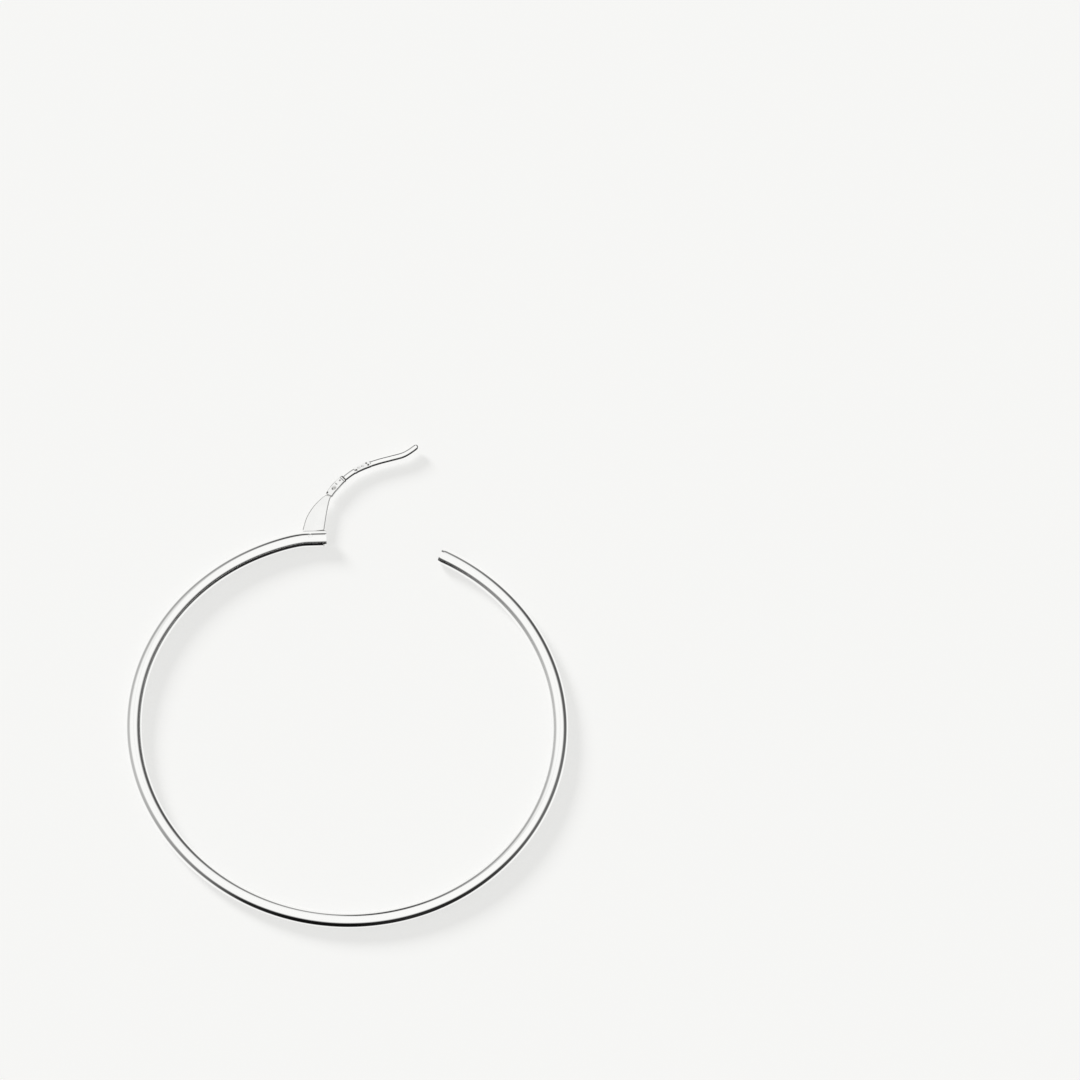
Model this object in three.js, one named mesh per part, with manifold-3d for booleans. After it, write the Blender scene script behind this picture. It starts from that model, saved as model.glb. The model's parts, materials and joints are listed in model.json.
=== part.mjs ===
// Hoop earring with a hinged ear wire, lying flat on its side and open.
// Units are millimetres, +Z is up. The hoop is drawn round the origin in the XY plane, with the
// opening for the ear lobe centred on +Y; at the end the whole earring is set on the floor.
import * as THREE from 'three';
import { mergeVertices } from 'three/addons/utils/BufferGeometryUtils.js';
import Module from 'manifold-3d';

const wasm = await Module();
wasm.setup();

// ---- Driving dimensions -------------------------------------------------------------------

const HOOP = {
  midDiameter: 48.5, // to the middle of the tube, so the hoop is 50.3 across outside
  tubeDiameter: 1.8,
  boreDiameter: 1.2,
  earOpeningDeg: 31.9, // angle between the two tube ends, seen from the hoop's centre
  tubeSides: 16, // one side faces straight down, so the hoop has a flat line of faces to rest on
  boreSides: 8,
  arcSteps: 88,
};

// At the hinge the tube isn't bent: its last stretch is straight and leans inwards a little.
const STRAIGHT_END = {
  inset: 0.35, // how far the middle of the end face lies inside the hoop's middle circle
  leanDeg: 3.55, // inward turn from the tangent at the end
};

const HINGE = {
  pivotFromEnd: 1.85,
  slotWidth: 0.56,
  slotLength: 2.75, // through the outer wall, into the bore
  reliefLength: 0.35, // through the inner wall, at the very end
  pinDiameter: 0.46,
  holeDiameter: 0.5,
  pinLength: 1.72,
  sides: 16,
};

// The free end is notched on its outer side, where the tip of the ear wire comes in.
const NOTCH = { width: 0.94, length: 2.5, depthBelowMiddle: 0.15 };

// The blade is the flat fin that turns in the hinge slot. Its outline is drawn as it stands when
// the earring is open: the back edge bows out, the front edge is nearly straight. Inside the tube
// it is cut back to a shoulder and a small foot round the pin, so that it can turn in the bore.
const BLADE = {
  thickness: 0.5,
  footRadius: 0.5,
  shoulder: { x: -7.75, y: 23.62 },
  backEdge: [
    { x: -9.42, y: 23.45 },
    { x: -9.31, y: 24.88 },
    { x: -9.05, y: 25.88 },
    { x: -8.62, y: 26.88 },
    { x: -8.03, y: 27.82 },
    { x: -7.62, y: 28.3 },
  ],
  frontEdge: [
    { x: -6.94, y: 28.3 },
    { x: -7.05, y: 27.6 },
    { x: -7.06, y: 26.0 },
    { x: -6.97, y: 23.9 },
  ],
  edgeSteps: 12,
};

// Middle line of the ear wire when open, from inside the blade's top to the rounded tip.
const WIRE_ROUTE = [
  { x: -7.36, y: 27.9 },
  { x: -7.05, y: 28.9 },
  { x: -6.54, y: 29.9 },
  { x: -5.93, y: 30.81 },
  { x: -4.97, y: 31.93 },
  { x: -3.85, y: 32.83 },
  { x: -2.5, y: 33.65 },
  { x: -1.2, y: 34.31 },
  { x: 0.0, y: 34.93 },
  { x: 0.72, y: 35.52 },
  { x: 1.6, y: 36.52 },
];

// Sections of the ear wire: where each stands along the middle line, its width in the hoop's
// plane and its thickness across it. The neck and the patch further on are pressed flat.
const WIRE_SECTIONS = [
  { name: 'root', at: 0.0, width: 0.5, thickness: 0.4 },
  { name: 'root end', at: 0.42, width: 0.5, thickness: 0.4 },
  { name: 'neck start', at: 0.47, width: 0.9, thickness: 0.62 },
  { name: 'neck middle', at: 1.9, width: 0.97, thickness: 0.6 },
  { name: 'neck end', at: 3.2, width: 0.86, thickness: 0.6 },
  { name: 'wire start', at: 3.26, width: 0.82, thickness: 0.82 },
  { name: 'patch lead-in', at: 4.7, width: 0.82, thickness: 0.82 },
  { name: 'patch start', at: 4.8, width: 0.87, thickness: 0.7 },
  { name: 'patch end', at: 6.75, width: 0.87, thickness: 0.7 },
  { name: 'wire', at: 6.85, width: 0.82, thickness: 0.82 },
  { name: 'tip start', at: 13.0, width: 0.82, thickness: 0.82 },
];
const WIRE = { sides: 12, stepLength: 0.4, tipSteps: 4 };

const SILVER = { color: 0xd9dade, roughness: 0.12, metalness: 1.0 };

// ---- Sizes that follow from them ------------------------------------------------------------

const MID_RADIUS = HOOP.midDiameter / 2;
const TUBE_RADIUS = HOOP.tubeDiameter / 2;
const HINGE_END = THREE.MathUtils.degToRad(90 + HOOP.earOpeningDeg / 2);
const FREE_END = THREE.MathUtils.degToRad(90 - HOOP.earOpeningDeg / 2 + 360);
const CUT_OVERSHOOT = 0.2; // cutting shapes run this far past the faces they open
const MERGE_DISTANCE = 1e-5; // points of a closed skin nearer than this are one point

// Heading from the hinge end back along the straight stretch, and the middle of the end face.
const STRAIGHT_HEADING = HINGE_END + Math.PI / 2 - THREE.MathUtils.degToRad(STRAIGHT_END.leanDeg);
const END_MIDDLE = onCircle(HINGE_END, MID_RADIUS - STRAIGHT_END.inset);

// Length at which the straight stretch meets the middle circle of the hoop.
function straightLength() {
  const along = END_MIDDLE.dot(onCircle(STRAIGHT_HEADING, 1));
  return Math.sqrt(along * along + MID_RADIUS ** 2 - END_MIDDLE.lengthSq()) - along;
}

function onCircle(angle, radius) {
  return new THREE.Vector3(Math.cos(angle), Math.sin(angle), 0).multiplyScalar(radius);
}

// Point on the middle of the straight stretch, at a distance back from the end face.
function straightPoint(back) {
  return END_MIDDLE.clone().addScaledVector(onCircle(STRAIGHT_HEADING, 1), back);
}

const PIVOT = straightPoint(HINGE.pivotFromEnd);

// ---- Solids and cuts ------------------------------------------------------------------------

// A closed three.js geometry as a solid that can be joined and cut.
function solidOf(geometry) {
  const bare = geometry.clone();
  bare.deleteAttribute('normal');
  bare.deleteAttribute('uv');
  const merged = mergeVertices(bare, MERGE_DISTANCE);
  return new wasm.Manifold(new wasm.Mesh({
    numProp: 3,
    vertProperties: new Float32Array(merged.attributes.position.array),
    triVerts: new Uint32Array(merged.index.array),
  }));
}

function geometryOf(solid) {
  const mesh = solid.getMesh();
  const geometry = new THREE.BufferGeometry();
  geometry.setAttribute('position', new THREE.BufferAttribute(mesh.vertProperties, 3));
  geometry.setIndex(new THREE.BufferAttribute(mesh.triVerts, 1));
  geometry.computeVertexNormals();
  return geometry;
}

// Closed skin through rings of equal count, with a flat cap on the first and the last.
function loft(rings) {
  const count = rings[0].length;
  const positions = rings.flat().flatMap((point) => [point.x, point.y, point.z]);
  const index = [];
  for (let ring = 0; ring < rings.length - 1; ring += 1) {
    for (let side = 0; side < count; side += 1) {
      const a = ring * count + side;
      const b = ring * count + ((side + 1) % count);
      index.push(a, b, b + count, a, b + count, a + count);
    }
  }
  const last = (rings.length - 1) * count;
  for (let side = 1; side < count - 1; side += 1) {
    index.push(0, side + 1, side);
    index.push(last, last + side, last + side + 1);
  }
  const geometry = new THREE.BufferGeometry();
  geometry.setAttribute('position', new THREE.Float32BufferAttribute(positions, 3));
  geometry.setIndex(index);
  return geometry;
}

// Ring of points round a centre, square to a heading in the XY plane. Flat sides, not corners,
// lie at half the width and half the thickness.
function sectionRing(centre, heading, width, thickness, sides) {
  const across = new THREE.Vector3(-Math.sin(heading), Math.cos(heading), 0);
  const toCorner = 1 / Math.cos(Math.PI / sides);
  return Array.from({ length: sides }, (_, side) => {
    const turn = ((side + 0.5) / sides) * 2 * Math.PI;
    const point = centre.clone();
    point.addScaledVector(across, (width / 2) * toCorner * Math.cos(turn));
    point.z += (thickness / 2) * toCorner * Math.sin(turn);
    return point;
  });
}

// Box that runs from its start along a heading, centred across the heading and in Z.
function slotCutter(start, heading, length, breadth, width) {
  const box = new THREE.BoxGeometry(length, breadth, width);
  box.translate(length / 2, 0, 0);
  box.rotateZ(heading);
  box.translate(start.x, start.y, start.z);
  return solidOf(box);
}

// Upright round bar through the pivot; flat sides lie at half the diameter.
function pivotBar(diameter, length, circumscribed) {
  const grow = circumscribed ? 1 / Math.cos(Math.PI / HINGE.sides) : 1;
  const bar = new THREE.CylinderGeometry(
    (diameter / 2) * grow, (diameter / 2) * grow, length, HINGE.sides);
  bar.rotateX(Math.PI / 2);
  bar.translate(PIVOT.x, PIVOT.y, 0);
  return bar;
}

// ---- Hoop tube ------------------------------------------------------------------------------

// Rings of the tube's skin or bore, from the hinge end round the hoop to the free end. The
// overshoot carries the bore's cutter past both end faces.
function tubeRings(diameter, sides, overshoot) {
  const ring = (centre, heading) => sectionRing(centre, heading, diameter, diameter, sides);
  const rings = [
    ring(straightPoint(-overshoot), STRAIGHT_HEADING),
    ring(straightPoint(HINGE.slotLength), STRAIGHT_HEADING),
  ];
  const join = straightPoint(straightLength());
  const arcStart = Math.atan2(join.y, join.x);
  for (let step = 0; step <= HOOP.arcSteps; step += 1) {
    const angle = THREE.MathUtils.lerp(arcStart, FREE_END, step / HOOP.arcSteps);
    rings.push(ring(onCircle(angle, MID_RADIUS), angle + Math.PI / 2));
  }
  if (overshoot > 0) {
    const heading = FREE_END + Math.PI / 2;
    const beyond = onCircle(FREE_END, MID_RADIUS).add(onCircle(heading, overshoot));
    rings.push(ring(beyond, heading));
  }
  return rings;
}

// The slot opens the outer wall from the middle line outwards; the relief opens the inner wall.
function hingeCut(side, length) {
  const breadth = 2 * TUBE_RADIUS;
  const start = straightPoint(-CUT_OVERSHOOT)
    .add(onCircle(STRAIGHT_HEADING + (side * Math.PI) / 2, breadth / 2));
  return slotCutter(start, STRAIGHT_HEADING, length + CUT_OVERSHOOT, breadth, HINGE.slotWidth);
}

// The notch opens the outer wall only: its cutter reaches from the middle line outwards.
function tipNotch() {
  const inward = FREE_END - Math.PI / 2; // heading from the free end along the tube
  const breadth = 2 * TUBE_RADIUS;
  const start = onCircle(FREE_END, MID_RADIUS + breadth / 2 - NOTCH.depthBelowMiddle)
    .add(onCircle(inward, -CUT_OVERSHOOT));
  return slotCutter(start, inward, NOTCH.length + CUT_OVERSHOOT, breadth, NOTCH.width);
}

function hoopTube() {
  const skin = solidOf(loft(tubeRings(HOOP.tubeDiameter, HOOP.tubeSides, 0)));
  const bore = solidOf(loft(tubeRings(HOOP.boreDiameter, HOOP.boreSides, CUT_OVERSHOOT)));
  const pinHole = solidOf(pivotBar(HINGE.holeDiameter, 2 * HOOP.tubeDiameter, true));
  return skin.subtract(bore).subtract(hingeCut(-1, HINGE.slotLength))
    .subtract(hingeCut(1, HINGE.reliefLength)).subtract(pinHole).subtract(tipNotch());
}

// ---- Ear wire -------------------------------------------------------------------------------

// Flat outline of the blade: up the bowed back edge, across the top, down the front edge, in to
// the shoulder, and round the foot that turns about the pin.
function bladeOutline() {
  const toVector = (point) => new THREE.Vector2(point.x, point.y);
  const back = BLADE.backEdge.map(toVector);
  const front = BLADE.frontEdge.map(toVector);
  const outline = new THREE.Shape();
  outline.moveTo(back[0].x, back[0].y);
  outline.splineThru(back.slice(1));
  outline.lineTo(front[0].x, front[0].y);
  outline.splineThru(front.slice(1));
  const shoulder = toVector(BLADE.shoulder);
  outline.lineTo(shoulder.x, shoulder.y);
  const pivot = new THREE.Vector2(PIVOT.x, PIVOT.y);
  const footStart = tangentAngle(shoulder, pivot, -1);
  const footEnd = tangentAngle(back[0], pivot, 1);
  outline.absarc(pivot.x, pivot.y, BLADE.footRadius, footStart, footEnd, true);
  outline.closePath();
  return outline;
}

// Angle on the foot circle where a straight line from `point` touches it.
function tangentAngle(point, pivot, side) {
  const reach = point.clone().sub(pivot);
  return reach.angle() + side * Math.acos(BLADE.footRadius / reach.length());
}

function blade() {
  const plate = new THREE.ExtrudeGeometry(bladeOutline(), {
    depth: BLADE.thickness,
    bevelEnabled: false,
    curveSegments: BLADE.edgeSteps,
  });
  plate.translate(0, 0, -BLADE.thickness / 2);
  return solidOf(plate).subtract(solidOf(pivotBar(HINGE.holeDiameter, HOOP.tubeDiameter, true)));
}

// Width and thickness of the wire at a distance along its middle line.
function wireSize(along) {
  const next = WIRE_SECTIONS.findIndex((section) => section.at >= along);
  if (next === 0) {
    return WIRE_SECTIONS[0];
  }
  if (next < 0) {
    return WIRE_SECTIONS[WIRE_SECTIONS.length - 1];
  }
  const from = WIRE_SECTIONS[next - 1];
  const to = WIRE_SECTIONS[next];
  const share = (along - from.at) / (to.at - from.at);
  return {
    width: THREE.MathUtils.lerp(from.width, to.width, share),
    thickness: THREE.MathUtils.lerp(from.thickness, to.thickness, share),
  };
}

// Distances along the middle line that need a ring: every named section, and even steps between.
function wireStations(tipStart) {
  const stations = new Set(WIRE_SECTIONS.map((section) => section.at));
  WIRE_SECTIONS.slice(1).forEach((section, before) => {
    const from = WIRE_SECTIONS[before].at;
    const parts = Math.ceil((section.at - from) / WIRE.stepLength);
    for (let part = 1; part < parts; part += 1) {
      stations.add(from + ((section.at - from) * part) / parts);
    }
  });
  return [...stations].filter((at) => at < tipStart).sort((a, b) => a - b);
}

function wire() {
  const route = new THREE.CatmullRomCurve3(
    WIRE_ROUTE.map((point) => new THREE.Vector3(point.x, point.y, 0)));
  const length = route.getLength();
  const tipRadius = WIRE_SECTIONS[WIRE_SECTIONS.length - 1].width / 2;
  const tipStart = length - tipRadius;
  const ringAt = (along, shrink) => {
    const centre = route.getPointAt(along / length);
    const tangent = route.getTangentAt(along / length);
    const size = wireSize(along);
    return sectionRing(centre, Math.atan2(tangent.y, tangent.x),
      size.width * shrink, size.thickness * shrink, WIRE.sides);
  };
  const rings = wireStations(tipStart).map((along) => ringAt(along, 1));
  for (let step = 0; step < WIRE.tipSteps; step += 1) {
    const turn = (step / WIRE.tipSteps) * (Math.PI / 2);
    rings.push(ringAt(tipStart + tipRadius * Math.sin(turn), Math.cos(turn)));
  }
  return solidOf(loft(rings));
}

// ---- The earring ----------------------------------------------------------------------------

function namedMesh(name, geometry) {
  const mesh = new THREE.Mesh(geometry, new THREE.MeshStandardMaterial(SILVER));
  mesh.name = name;
  return mesh;
}

const earring = new THREE.Group();
earring.add(namedMesh('hoop_tube', geometryOf(hoopTube())));
earring.add(namedMesh('hinge_pin', pivotBar(HINGE.pinDiameter, HINGE.pinLength, false)));
earring.add(namedMesh('ear_wire', geometryOf(blade().add(wire()))));

// Set it down: the middle of its footprint goes to X = Y = 0, and the underside to Z = 0.
const bounds = new THREE.Box3().setFromObject(earring);
const middle = bounds.getCenter(new THREE.Vector3());
earring.position.set(-middle.x, -middle.y, -bounds.min.z);

export default earring;
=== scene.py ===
"""Hoop earring in polished silver, with a hinged ear wire, modelled round its packed frame."""
import json
import math

import bpy
from mathutils import Matrix, Vector


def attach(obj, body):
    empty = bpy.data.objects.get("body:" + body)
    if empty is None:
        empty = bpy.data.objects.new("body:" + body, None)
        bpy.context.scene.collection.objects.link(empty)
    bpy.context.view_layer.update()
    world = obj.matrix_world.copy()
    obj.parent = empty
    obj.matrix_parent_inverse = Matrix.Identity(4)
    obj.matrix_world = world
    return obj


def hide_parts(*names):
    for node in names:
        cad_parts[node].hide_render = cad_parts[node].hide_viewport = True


bl_info = {
    "name": "Hinged Hoop Earring",
    "version": (1, 0, 0),
    "blender": (4, 5, 0),
    "location": "View3D > Sidebar > Earring",
    "description": "Models a polished silver hoop earring with a hinged ear wire",
    "category": "Object",
}

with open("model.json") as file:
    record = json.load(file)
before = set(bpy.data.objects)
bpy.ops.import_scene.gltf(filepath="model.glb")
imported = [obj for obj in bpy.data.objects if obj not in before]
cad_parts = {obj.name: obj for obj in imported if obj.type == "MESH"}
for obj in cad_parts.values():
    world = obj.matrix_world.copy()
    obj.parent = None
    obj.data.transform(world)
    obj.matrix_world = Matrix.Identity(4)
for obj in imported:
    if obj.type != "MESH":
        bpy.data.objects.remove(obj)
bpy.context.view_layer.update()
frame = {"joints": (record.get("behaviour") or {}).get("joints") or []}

# Every piece is drawn in millimetres round the hoop's centre, in the plane Z = 0, with the
# opening for the ear on +Y. settle() brings it to metres and puts it where the frame has it.
MM = 0.001
UP = (0.0, 0.0, 1.0)
HINGE_JOINT = frame["joints"][0]
PIVOT_IN_FRAME = Vector(HINGE_JOINT["pos_m"]) / MM

# Outline of the blade as it stands when the earring is open.
BLADE_BACK = ((-9.42, 23.45), (-9.31, 24.88), (-9.05, 25.88), (-8.62, 26.88), (-8.03, 27.82),
              (-7.62, 28.3))
BLADE_FRONT = ((-6.97, 23.9), (-7.06, 26.0), (-7.05, 27.6), (-6.94, 28.3))
BLADE_SHOULDER = (-7.75, 23.62)

# Middle line of the ear wire when open, from inside the blade's top to the tip.
WIRE_ROUTE = ((-7.36, 27.9), (-7.05, 28.9), (-6.54, 29.9), (-5.93, 30.81), (-4.97, 31.93),
              (-3.85, 32.83), (-2.5, 33.65), (-1.2, 34.31), (0.0, 34.93), (0.72, 35.52),
              (1.6, 36.52))

# Widths of the ear wire along its middle line: (distance from the root, width).
WIRE_WIDTHS = ((0.0, 0.5), (0.42, 0.5), (0.47, 0.9), (1.9, 0.97), (3.2, 0.86), (3.26, 0.82),
               (4.7, 0.82), (4.8, 0.87), (6.75, 0.87), (6.85, 0.82), (20.0, 0.82))

# Stretches of the wire that are pressed flat: (from, to, thickness left).
PRESSED = ((0.0, 0.44, 0.4), (0.44, 3.0, 0.6), (3.0, 3.15, 0.54), (4.76, 6.8, 0.6))

# Punched marks on the flats: (distance along, offset across, length, width, depth, painted shade).
MARKS = ((0.62, 0.3, 0.24, 0.22, 0.1, 1.0), (1.5, -0.03, 0.66, 0.46, 0.06, 0.32),
         (1.5, -0.03, 0.26, 0.16, 0.09, 0.5), (2.05, 0.1, 0.18, 0.36, 0.06, 0.45),
         (2.66, 0.06, 0.24, 0.2, 0.07, 0.6), (4.96, -0.12, 0.26, 0.26, 0.08, 0.9),
         (5.38, 0.0, 0.36, 0.34, 0.04, 0.2), (5.84, 0.0, 0.36, 0.34, 0.04, 0.2),
         (6.36, 0.14, 0.22, 0.22, 0.08, 0.8), (6.5, -0.14, 0.24, 0.24, 0.08, 0.9))
PRESSED_SIDE_SHADE = 0.38  # painted shade on the sides of the pressed stretches
BLADE_EDGE_SHADE = 0.4  # painted shade on the blade's rounded edges
STEP_AT = (3.04, 3.24)  # the step up to the round wire, which is painted with shade


class HoopSettings(bpy.types.PropertyGroup):
    """Sizes of the hoop's tube."""

    mid_diameter: bpy.props.FloatProperty(
        name="Middle Diameter", description="Across the hoop, to the middle of its tube",
        default=48.5 * MM, unit="LENGTH")
    tube_diameter: bpy.props.FloatProperty(
        name="Tube Diameter", description="Outside diameter of the tube",
        default=1.8 * MM, unit="LENGTH")
    bore_diameter: bpy.props.FloatProperty(
        name="Bore Diameter", description="Inside diameter of the tube",
        default=1.2 * MM, unit="LENGTH")
    opening: bpy.props.FloatProperty(
        name="Ear Opening", description="Angle between the two tube ends",
        default=math.radians(31.9), subtype="ANGLE", unit="ROTATION")
    end_inset: bpy.props.FloatProperty(
        name="End Inset", description="How far the hinge end lies inside the hoop's circle",
        default=0.35 * MM, unit="LENGTH")
    end_lean: bpy.props.FloatProperty(
        name="End Lean", description="Inward turn of the straight hinge end",
        default=math.radians(3.55), subtype="ANGLE", unit="ROTATION")
    notch_width: bpy.props.FloatProperty(
        name="Notch Width", description="Width of the notch that takes the wire's tip",
        default=0.94 * MM, unit="LENGTH")
    notch_length: bpy.props.FloatProperty(
        name="Notch Length", description="Length of the notch that takes the wire's tip",
        default=2.5 * MM, unit="LENGTH")
    edge: bpy.props.FloatProperty(
        name="Edge Rounding", description="Rounding of the cut edges",
        default=0.04 * MM, unit="LENGTH")


class HingeSettings(bpy.types.PropertyGroup):
    """Sizes of the hinge."""

    pivot_from_end: bpy.props.FloatProperty(
        name="Pivot From End", description="From the end of the tube to the pin",
        default=1.85 * MM, unit="LENGTH")
    slot_width: bpy.props.FloatProperty(
        name="Slot Width", description="Width of the slot that the blade turns in",
        default=0.56 * MM, unit="LENGTH")
    slot_length: bpy.props.FloatProperty(
        name="Slot Length", description="Length of the slot in the outer wall of the tube",
        default=2.75 * MM, unit="LENGTH")
    relief_length: bpy.props.FloatProperty(
        name="Relief Length", description="Length of the slot in the inner wall of the tube",
        default=0.35 * MM, unit="LENGTH")
    pin_diameter: bpy.props.FloatProperty(
        name="Pin Diameter", description="Diameter of the hinge pin",
        default=0.46 * MM, unit="LENGTH")
    hole_diameter: bpy.props.FloatProperty(
        name="Hole Diameter", description="Diameter of the hole for the pin in the tube",
        default=0.48 * MM, unit="LENGTH")


class WireSettings(bpy.types.PropertyGroup):
    """Sizes of the ear wire."""

    blade_thickness: bpy.props.FloatProperty(
        name="Blade Thickness", description="Thickness of the flat blade",
        default=0.5 * MM, unit="LENGTH")
    foot_radius: bpy.props.FloatProperty(
        name="Foot Radius", description="Radius of the blade's foot round the pin",
        default=0.5 * MM, unit="LENGTH")
    hole_diameter: bpy.props.FloatProperty(
        name="Hole Diameter", description="Diameter of the hole for the pin in the blade",
        default=0.5 * MM, unit="LENGTH")
    edge: bpy.props.FloatProperty(
        name="Edge Rounding", description="Rounding of the blade's edges",
        default=0.12 * MM, unit="LENGTH")


class FinishSettings(bpy.types.PropertyGroup):
    """Colours and polish of the silver."""

    silver: bpy.props.FloatVectorProperty(
        name="Silver", description="Colour of the polished silver",
        default=(0.93, 0.93, 0.925), size=3, min=0, max=1, subtype="COLOR")
    tarnish: bpy.props.FloatVectorProperty(
        name="Tarnish", description="Colour of the silver inside the tube",
        default=(0.42, 0.41, 0.39), size=3, min=0, max=1, subtype="COLOR")
    # Painted shade: the ear wire's marks, edges and step are painted in this dark colour.
    corner: bpy.props.FloatVectorProperty(
        name="Corner", description="Colour of the silver in the deepest corners of the ear wire",
        default=(0.2, 0.195, 0.185), size=3, min=0, max=1, subtype="COLOR")
    polish: bpy.props.FloatProperty(
        name="Roughness", description="Roughness of the clean polish",
        default=0.07, min=0, max=1, subtype="FACTOR")


class StageSettings(bpy.types.PropertyGroup):
    """Camera, floor and light."""

    azimuth: bpy.props.FloatProperty(
        name="Azimuth", description="Turn of the camera to the right of straight ahead",
        default=math.radians(8.038), subtype="ANGLE", unit="ROTATION")
    elevation: bpy.props.FloatProperty(
        name="Elevation", description="Height of the camera above the floor",
        default=math.radians(64.206), subtype="ANGLE", unit="ROTATION")
    roll: bpy.props.FloatProperty(
        name="Roll", description="Turn of the camera about its own line of sight",
        default=math.radians(2.339), subtype="ANGLE", unit="ROTATION")
    distance: bpy.props.FloatProperty(
        name="Distance", description="From the camera to the point that it aims at",
        default=3.4216, unit="LENGTH")
    aim: bpy.props.FloatVectorProperty(
        name="Aim", description="Point that the camera aims at, from the hoop's centre",
        default=(17.423 * MM, 27.268 * MM, 0.0), size=3, subtype="TRANSLATION", unit="LENGTH")
    lens: bpy.props.FloatProperty(
        name="Focal Length", description="Focal length of the camera, in millimetres",
        default=1000.0)
    floor_colour: bpy.props.FloatVectorProperty(
        name="Floor", description="Colour of the floor",
        default=(0.4, 0.4, 0.397), size=3, min=0, max=1, subtype="COLOR")
    surround: bpy.props.FloatProperty(
        name="Surround", description="Brightness of the white surround in the silver",
        default=1.03)
    fill: bpy.props.FloatProperty(
        name="Fill", description="Strength of the light from all round on the floor",
        default=0.3)
    backdrop: bpy.props.FloatProperty(
        name="Backdrop", description="Brightness of the plain background", default=0.92)
    floor_glow: bpy.props.FloatProperty(
        name="Floor Glow", description="Light of the lit table top itself", default=0.66)
    key: bpy.props.FloatProperty(
        name="Key Light", description="Strength of the soft key light", default=2.5)


# ---- Places in the hoop's plane -------------------------------------------------------------


def on_circle(angle, radius):
    return Vector((math.cos(angle), math.sin(angle), 0.0)) * radius


class HoopPlan:
    """Where the hoop's two ends, its straight end and its pivot lie, in millimetres."""

    def __init__(self, hoop, hinge):
        self.mid_radius = hoop.mid_diameter / MM / 2
        self.hinge_angle = math.pi / 2 + hoop.opening / 2
        self.free_angle = math.pi / 2 - hoop.opening / 2 + 2 * math.pi
        self.heading = self.hinge_angle + math.pi / 2 - hoop.end_lean
        self.end = on_circle(self.hinge_angle, self.mid_radius - hoop.end_inset / MM)
        self.pivot = self.straight(hinge.pivot_from_end / MM)

    def straight(self, back):
        """Point on the straight end's middle line, at a distance back from its end face."""
        return self.end + on_circle(self.heading, back)

    def back_from_end(self, point):
        return (Vector(point) - self.end).dot(on_circle(self.heading, 1))

    def back_from_free_end(self, point):
        inward = on_circle(self.free_angle - math.pi / 2, 1)
        return (Vector(point) - on_circle(self.free_angle, self.mid_radius)).dot(inward)


def plan():
    scene = bpy.context.scene
    return HoopPlan(scene.hoop_settings, scene.hinge_settings)


def curve_through(points, parts):
    """Points on a smooth curve through the given ones, `parts` of them to each span."""
    knots = [Vector((*point, 0.0)) for point in points]
    knots = [knots[0] * 2 - knots[1], *knots, knots[-1] * 2 - knots[-2]]
    found = []
    for before, start, end, after in zip(knots, knots[1:], knots[2:], knots[3:]):
        for part in range(parts):
            t = part / parts
            found.append(0.5 * (2 * start + (end - before) * t
                                + (2 * before - 5 * start + 4 * end - after) * t * t
                                + (3 * start - before - 3 * end + after) * t ** 3))
    return [*found, knots[-2]]


def along_curve(points, distance):
    """(point, heading) at a distance along a fine polyline."""
    for start, end in zip(points, points[1:]):
        span = (end - start).length
        if distance <= span or end is points[-1]:
            way = (end - start) / span
            return start + way * distance, math.atan2(way.y, way.x)
        distance -= span


def curve_length(points):
    return sum((end - start).length for start, end in zip(points, points[1:]))


def place_finder(line, spacing, reach):
    """Function that gives a point's distance along the start of a line, and off it."""
    fine = [along_curve(line, step * spacing)[0] for step in range(int(reach / spacing))]

    def find(co):
        flat = Vector((co.x, co.y, 0.0))
        near = min(range(len(fine)), key=lambda index: (fine[index] - flat).length_squared)
        return near * spacing, (fine[near] - flat).length

    return find


def between(table, at):
    """Value at a place in a table of (place, value) rows."""
    for (low, first), (high, second) in zip(table, table[1:]):
        if at <= high:
            return first + (second - first) * max(0.0, at - low) / (high - low)
    return table[-1][1]


# ---- Modelling by hand ----------------------------------------------------------------------


def deselect_all():
    if bpy.context.object and bpy.context.object.mode != "OBJECT":
        bpy.ops.object.mode_set(mode="OBJECT")
    bpy.ops.object.select_all(action="DESELECT")


def make_active(obj):
    deselect_all()
    bpy.context.view_layer.objects.active = obj
    obj.select_set(True)


def start_piece(name):
    """Names the primitive that was just added and brings its place into its mesh."""
    obj = bpy.context.object
    obj.name = name
    obj.data.name = name
    bpy.ops.object.transform_apply(location=True, rotation=True, scale=True)
    return obj


def edit(obj):
    make_active(obj)
    bpy.ops.object.mode_set(mode="EDIT")
    bpy.ops.mesh.select_all(action="DESELECT")


def done_editing():
    bpy.ops.object.mode_set(mode="OBJECT")


def pick(obj, kind, test):
    """Selects the vertices, edges or faces of obj whose middle passes a test, and no others."""
    bpy.ops.object.mode_set(mode="EDIT")
    bpy.ops.mesh.select_mode(type=kind)
    bpy.ops.mesh.select_all(action="DESELECT")
    bpy.ops.object.mode_set(mode="OBJECT")
    mesh = obj.data
    if kind == "VERT":
        for vertex in mesh.vertices:
            vertex.select = test(vertex.co)
    elif kind == "FACE":
        for face in mesh.polygons:
            face.select = test(face.center)
    else:
        for edge in mesh.edges:
            first, second = (mesh.vertices[index].co for index in edge.vertices)
            edge.select = test((first + second) / 2)
    bpy.ops.object.mode_set(mode="EDIT")


def turn(angle, centre):
    """Turns the selection anticlockwise about an upright axis through a point."""
    bpy.ops.transform.rotate(value=-angle, orient_axis="Z", center_override=centre)


def place_section(old, new):
    """Moves the selected section from one (middle, heading, width, height) to another."""
    (middle, heading, width, height), (target, new_heading, new_width, new_height) = old, new
    turn(-heading, middle)
    bpy.ops.transform.resize(value=(1.0, new_width / width, new_height / height),
                             center_override=middle)
    turn(new_heading, middle)
    bpy.ops.transform.translate(value=target - middle)


def draw_sections(sections):
    """Extrudes the selected section on through a list of (middle, heading, width, height)."""
    for old, new in zip(sections, sections[1:]):
        bpy.ops.mesh.extrude_region_move()
        place_section(old, new)


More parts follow.
